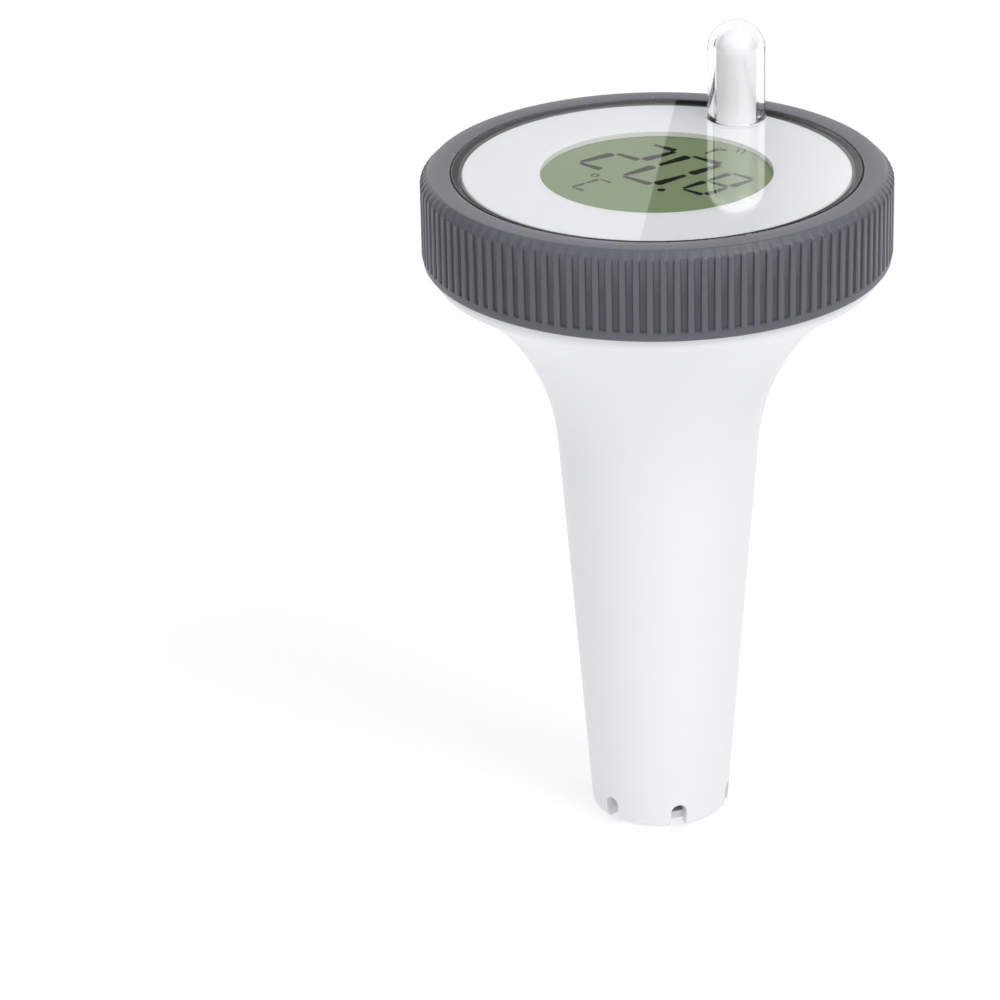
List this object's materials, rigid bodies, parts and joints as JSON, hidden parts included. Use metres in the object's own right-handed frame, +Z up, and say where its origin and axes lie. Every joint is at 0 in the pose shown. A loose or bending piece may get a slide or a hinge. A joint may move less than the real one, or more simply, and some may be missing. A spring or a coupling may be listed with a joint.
{
  "type": "floating pool thermometer",
  "caption": "Weighted pool float with a water probe in its foot, a ribbed screw-on lock ring and a clear cover over a battery-powered display with a short antenna tube.",
  "frame": {"origin": "centre of the foot, on the plane the foot stands on", "axes": "+Z up along the stem's axis; -Y towards the side seen from the front; the antenna tube is at +X +Y"},
  "size_m": [0.105, 0.105, 0.1797],
  "materials": {
    "white_float": "satin injection-moulded white",
    "white_face": "fine matt white",
    "white_sleeve": "matt white",
    "grey_ring": "satin dark grey",
    "clear_plastic": "polished clear",
    "display_glass": "polished",
    "display_film": "grey-green reflective film",
    "board_green": "solder mask",
    "black_plastic": "moulded black",
    "black_epoxy": "glossy epoxy",
    "unit_white": "moulded off-white",
    "rubber_grey": "matt",
    "rubber_pink": "silicone",
    "lead_jacket": "satin",
    "contact_metal": "nickel plated",
    "screw_steel": "zinc plated",
    "probe_steel": "ground stainless",
    "ballast_iron": "painted grey",
    "cell_wrap": "plain printed sleeve",
    "antenna_wire": "enamelled copper",
    "sensor_bead": "glass-epoxy bead"
  },
  "bodies": {
    "float": {"float_shell": "white_float", "probe_guard": "white_float", "cover_gasket": "rubber_grey", "face_plate": "white_face", "antenna_sleeve": "white_sleeve", "antenna_coil": "antenna_wire", "lcd_front_polariser": "display_film", "lcd_front_glass": "display_glass", "lcd_rear_glass": "display_glass", "lcd_reflector": "display_film", "lcd_contact_strips": "rubber_pink", "lcd_frame": "black_plastic", "main_board": "board_green", "board_screws": "screw_steel", "controller_chip": "black_epoxy", "radio_board": "board_green", "radio_crystal": "contact_metal", "back_shell": "unit_white", "shell_screws": "screw_steel", "cell_left": "cell_wrap", "cell_right": "cell_wrap", "bridge_contact": "contact_metal", "bridge_spring": "contact_metal", "positive_contact": "contact_metal", "negative_contact": "contact_metal", "negative_spring": "contact_metal", "units_switch": "black_plastic", "channel_switch": "contact_metal", "ballast": "ballast_iron", "ballast_screws": "screw_steel", "probe_tube": "probe_steel", "probe_seal": "rubber_grey", "probe_nut": "contact_metal", "probe_sensor": "sensor_bead", "probe_lead": "lead_jacket", "lead_plug": "unit_white", "lead_socket": "unit_white"},
    "cover": {"clear_cover": "clear_plastic"},
    "ring": {"lock_ring": "grey_ring"},
    "button": {"units_button": "rubber_grey", "switch_plunger": "black_plastic"},
    "knob": {"channel_knob": "black_plastic"},
    "door": {"battery_door": "unit_white"}
  },
  "joints": [
    {"name": "cover_lift", "type": "slide", "parent": "float", "child": "cover", "axis": [0, 0, 1], "range_m": [0, 0.0121]},
    {"name": "ring_turn", "type": "hinge", "parent": "cover", "child": "ring", "pos_m": [0, 0, 0.147], "axis": [0, 0, 1], "range_deg": [0, 720]},
    {"name": "units_press", "type": "slide", "parent": "float", "child": "button", "axis": [0, 0, 1], "range_m": [0, 0.0004], "stiffness_N_per_m": 3000},
    {"name": "channel_slide", "type": "slide", "parent": "float", "child": "knob", "axis": [0, 1, 0], "range_m": [0, 0.004]},
    {"name": "door_slide", "type": "slide", "parent": "float", "child": "door", "axis": [0, 0, -1], "range_m": [0, 0.008]}
  ],
  "couplings": [
    {"joint": "cover_lift", "follows": "ring_turn", "m_per_rad": 0.00095493}
  ]
}
